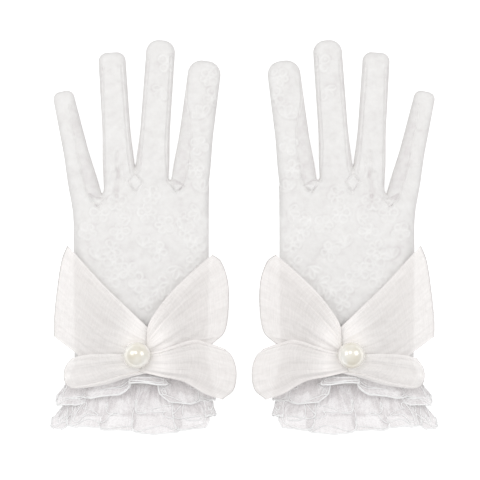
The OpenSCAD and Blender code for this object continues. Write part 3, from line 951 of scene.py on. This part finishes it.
class Frill:
    """A gathered strip round the cuff. share runs once round it, and t from its seam to its free edge.

    It hangs in lobes that lie over one another at their sides. Each lobe on the back of the hand is given
    by the place of its middle and by how much of the strip's depth it reaches down. A lobe that reaches
    down less is turned up instead. Under the palm the lobes are even.
    """

    # The lobes under the palm, and how far they reach.
    PALM_LOBES, PALM_REACH = 5, 0.7
    # How far a lobe's sides swing sideways and how high it stands, as shares of its width.
    SWING, LIFT = 0.34, 0.11
    # Small waves along the free edge and along the seam.
    SCALLOPS, GATHERS = 46, 120

    def __init__(self, tier, lobes, curl, seed):
        low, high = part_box(f"left_{tier}_frill")
        self.tier, self.curl, self.seed = tier, curl, seed
        self.seam, self.end = high.y / MM, low.y / MM
        self.half_x = (high.x - low.x) / 2 / MM
        turns = [math.acos(x / self.half_x) for x, _ in lobes]
        reaches = [reach for _, reach in lobes]
        under = np.linspace(math.pi, 2 * math.pi, self.PALM_LOBES + 2)[1:-1]
        turns = np.concatenate([turns, under])
        reaches = np.concatenate([reaches, np.full(self.PALM_LOBES, self.PALM_REACH)])
        self.count = len(turns)
        table = np.linspace(0, 2 * math.pi, 721)
        whole = 2 * math.pi
        ring = np.r_[turns[-1] - whole, turns, turns[0] + whole]
        index = np.interp(table, ring, np.arange(-1, self.count + 1))
        reach = np.interp(table, ring, np.r_[reaches[-1], reaches, reaches[0]])
        self.table = table
        self.ahead = self.soften(index - table * self.count / whole)
        self.reaches = self.soften(reach)

    @staticmethod
    def soften(values, width=13):
        """A table that repeats, with its corners rounded."""
        kernel = np.hanning(2 * width + 1)
        ring = np.r_[values[-width - 1:-1], values, values[1:width + 1]]
        return np.convolve(ring, kernel / kernel.sum(), "valid")

    def at(self, share, t):
        share, t = np.asarray(share, float), np.asarray(t, float)
        turn = 2 * math.pi * (share % 1)
        index = np.interp(turn, self.table, self.ahead) + turn * self.count / (2 * math.pi)
        rate = np.interp(turn, self.table, np.gradient(self.ahead, self.table)) + self.count / (2 * math.pi)
        phase = 2 * math.pi * index + 0.5 * np.sin(7 * turn + self.seed) + 0.3 * np.sin(12 * turn + 1)
        sine, cosine = np.sin(turn), np.cos(turn)
        front = smooth(sine, -0.35, 0.35)
        width = np.clip(np.abs(sine) * half_hand / np.maximum(rate, 0.5), 5, 26)
        grow = smooth(t, -0.1, 0.9)
        flare = (self.half_x - half_hand + 2.9) * np.maximum(t, 0) ** 2 * (1 - 0.75 * smooth(cosine, 0, 1))
        level = np.sign(sine) * np.minimum(1, 1.1 * np.abs(sine) ** 0.5)
        middle = (WRIST_LOW + WRIST_TOP) / 2 - 0.8 * t
        thick = (WRIST_TOP - WRIST_LOW) / 2 + 0.7 + 1.0 * t
        x = (half_hand + 0.6 + flare) * cosine
        x = x - self.SWING * width * grow * np.sin(phase) * np.sign(sine) * np.abs(sine) ** 0.3
        lift = self.LIFT * width * grow * (0.5 + 0.5 * np.cos(phase - 0.5))
        reach = np.interp(turn, self.table, self.reaches)
        turned_up = np.maximum(0.82 - reach, 0) * front
        y = self.seam + (self.end - self.seam) * t * reach
        curl = self.curl * (0.5 + width / 36) * (1 + 0.35 * np.sin(3 * turn + 2 * self.seed))
        hang = 1 - (0.5 - 0.5 * np.cos(phase)) ** 3
        y = y - curl * grow * (2 * hang - 1.5) * (0.25 + 0.75 * front) * (1 - turned_up)
        y = y + 0.7 * grow * np.abs(np.sin(math.pi * self.SCALLOPS * share))
        x = x + 2.5 * t * np.sin(4 * turn + self.seed) * np.abs(sine)
        z = middle + thick * level + lift * front
        z = z + 13 * turned_up * (0.2 + 0.8 * np.maximum(t, 0) ** 0.7)
        return np.stack([x, y, np.maximum(z, 0.5)], -1)

    def surface(self):
        share, t = np.meshgrid(np.linspace(0, 1, FRILL_COLUMNS + 1)[:-1], np.linspace(0, 1, FRILL_ROWS))
        points = self.at(share, t)
        crinkle = waves(share * 420, t * 12, self.seed + 7, 9, 3, 8)
        facing = np.abs(np.sin(2 * math.pi * share))
        points[..., 2] += 0.3 * crinkle * smooth(t, 0.1, 0.5) * facing
        gathers = np.sin(2 * math.pi * self.GATHERS * share + 2 * np.sin(10 * math.pi * share))
        points[..., 2] += 0.4 * gathers * (1 - smooth(t, 0.1, 0.75)) * facing
        points[..., 2] = np.maximum(points[..., 2], 0.5)
        return points

    def cut_size(self):
        """Length and depth of the strip before it was gathered."""
        line = self.at(np.linspace(0, 1, 2000), np.full(2000, 0.8))
        share, t = np.meshgrid(np.linspace(0, 1, 300), np.linspace(0, 1, 40))
        down = np.linalg.norm(np.diff(self.at(share, t), axis=0), axis=2).sum(0)
        return np.linalg.norm(np.diff(line, axis=0), axis=1).sum(), down.mean()


FRILLS = (
    Frill("upper", ((41, 0.78), (22, 0.8), (1, 0.31), (-17, 0.66), (-35, 0.88)), 3.0, 2),
    Frill("lower", ((45, 0.62), (30, 0.88), (9, 0.96), (-12, 0.91), (-29.5, 0.85), (-44, 0.92)), 3.6, 5),
)


def scroll(frill, centre, draw):
    """A loop of cord sewn on the lace, wandering over it and crossing itself."""
    turn = np.linspace(0, 2 * math.pi, 90)
    wide = draw.uniform(0.014, 0.026)
    shape = lambda: sum(
        draw.uniform(0.6, 1) / k * np.sin(k * turn + draw.uniform(0, 2 * math.pi)) for k in (1, 2, 3))
    level = 0.64 + 0.2 * shape()
    return frill.at(centre + wide * shape(), np.clip(level, 0.08, 0.98)) + (0, 0, 0.35)


def frill_cords(frill):
    """The corded edge, and scrolls of the same cord sewn on the lace."""
    share = np.linspace(0, 1, 1401)[:-1]
    lines = [tube(frill.at(share, np.full(1400, 1.0)) + (0, 0, 0.1), 0.42, 6, closed=True)]
    inner = 0.9 + 0.08 * np.sin(34 * math.pi * share + 2 * np.sin(10 * math.pi * share))
    lines.append(tube(frill.at(share, inner) + (0, 0, 0.3), 0.28, 5, closed=True))
    draw = random.Random(frill.seed + 30)
    count = 18
    for k in range(count):
        centre = (k + draw.uniform(0.2, 0.8)) / count
        lines.append(tube(scroll(frill, centre, draw), 0.3, 5))
    return joined(lines)


def make_frill(frill):
    points = frill.surface()
    rows, columns = points.shape[:2]
    quads = grid_faces(rows, columns, wrap=True)
    vertices = points.reshape(-1, 3)
    length, depth = frill.cut_size()
    u = np.arange(columns) * length / columns
    uv = np.stack(np.meshgrid(u, np.linspace(0, depth, rows)), 2).reshape(-1, 2)
    cords = frill_cords(frill)
    for side, _ in SIDES:
        lace = build(f"{frill.tier}_frill_lace", side, vertices, quads, FRILL_LACE, uv=uv)
        place(lace, side, "hand", "frill_lace", (f"{frill.tier}_frill",))
        cord = build(f"{frill.tier}_frill_cording", side, *cords, EDGE_CORD)
        place(cord, side, "hand", "edge_cord", (f"{frill.tier}_frill_cord",))


for strip in FRILLS:
    make_frill(strip)

# ---- floor, light and camera ----


def make_floor():
    """A pale lit table, so that hardly a shadow shows."""
    mesh = bpy.data.meshes.new("floor")
    corners = [(2 * x, 2 * y, -0.0004) for x, y in ((-1, -1), (1, -1), (1, 1), (-1, 1))]
    mesh.from_pydata(corners, [], [(0, 1, 2, 3)])
    n = Nodes("floor")
    where = n.add("TexCoord").outputs["Object"]
    n.link(n.ramp(n.noise(where, 3, 2), (0.3, (0.96, 0.96, 0.96)), (0.7, (0.98, 0.98, 0.98))), "Base Color")
    n.set(Roughness=0.9, Specular_IOR_Level=0.1, Emission_Color=(1, 1, 1, 1), Emission_Strength=0.5)
    mesh.materials.append(n.material)
    floor = bpy.data.objects.new("floor", mesh)
    floor.visible_diffuse = False
    bpy.context.scene.collection.objects.link(floor)


def make_light(name, place, size, power, target=(0, 0, 0)):
    data = bpy.data.lights.new(name, "AREA")
    data.shape, data.size, data.energy = "SQUARE", size, power
    light = bpy.data.objects.new(name, data)
    light.location = place
    light.rotation_mode = "QUATERNION"
    light.rotation_quaternion = (Vector(target) - Vector(place)).to_track_quat("-Z", "Y")
    light.visible_camera = False
    bpy.context.scene.collection.objects.link(light)


# Brightness of the tent at the table's level and overhead.
TENT_BRIGHTNESS = (0.66, 0.83)


def make_world():
    """A white tent, brightest overhead."""
    world = bpy.data.worlds.new("studio")
    world.use_nodes = True
    tree = world.node_tree
    where = tree.nodes.new("ShaderNodeTexCoord")
    parts = tree.nodes.new("ShaderNodeSeparateXYZ")
    level = tree.nodes.new("ShaderNodeMapRange")
    tree.links.new(where.outputs["Generated"], parts.inputs[0])
    tree.links.new(parts.outputs["Z"], level.inputs["Value"])
    level.inputs["To Min"].default_value, level.inputs["To Max"].default_value = TENT_BRIGHTNESS
    background = tree.nodes["Background"]
    background.inputs["Color"].default_value = (1, 1, 1, 1)
    tree.links.new(level.outputs["Result"], background.inputs["Strength"])
    bpy.context.scene.world = world


# The camera looks straight down on a point just beside the pair's middle.
CAMERA_HEIGHT = 1.25
VIEW_WIDTH = 0.2712
VIEW_CENTRE = (-0.0023, -0.0017)


def make_camera():
    data = bpy.data.cameras.new("camera")
    data.sensor_width = 36
    data.lens = data.sensor_width * (CAMERA_HEIGHT - 0.010) / VIEW_WIDTH
    camera = bpy.data.objects.new("camera", data)
    camera.location = (*VIEW_CENTRE, CAMERA_HEIGHT)
    bpy.context.scene.collection.objects.link(camera)
    bpy.context.scene.camera = camera


make_floor()
make_world()
make_light("left", (-0.34, 0.10, 0.36), 0.25, 0.35)
make_light("right", (0.34, 0.10, 0.36), 0.25, 0.35)
make_light("top", (-0.2, 0.5, 1.1), 0.4, 1.6)
make_camera()
bpy.context.scene.view_settings.view_transform = "Standard"
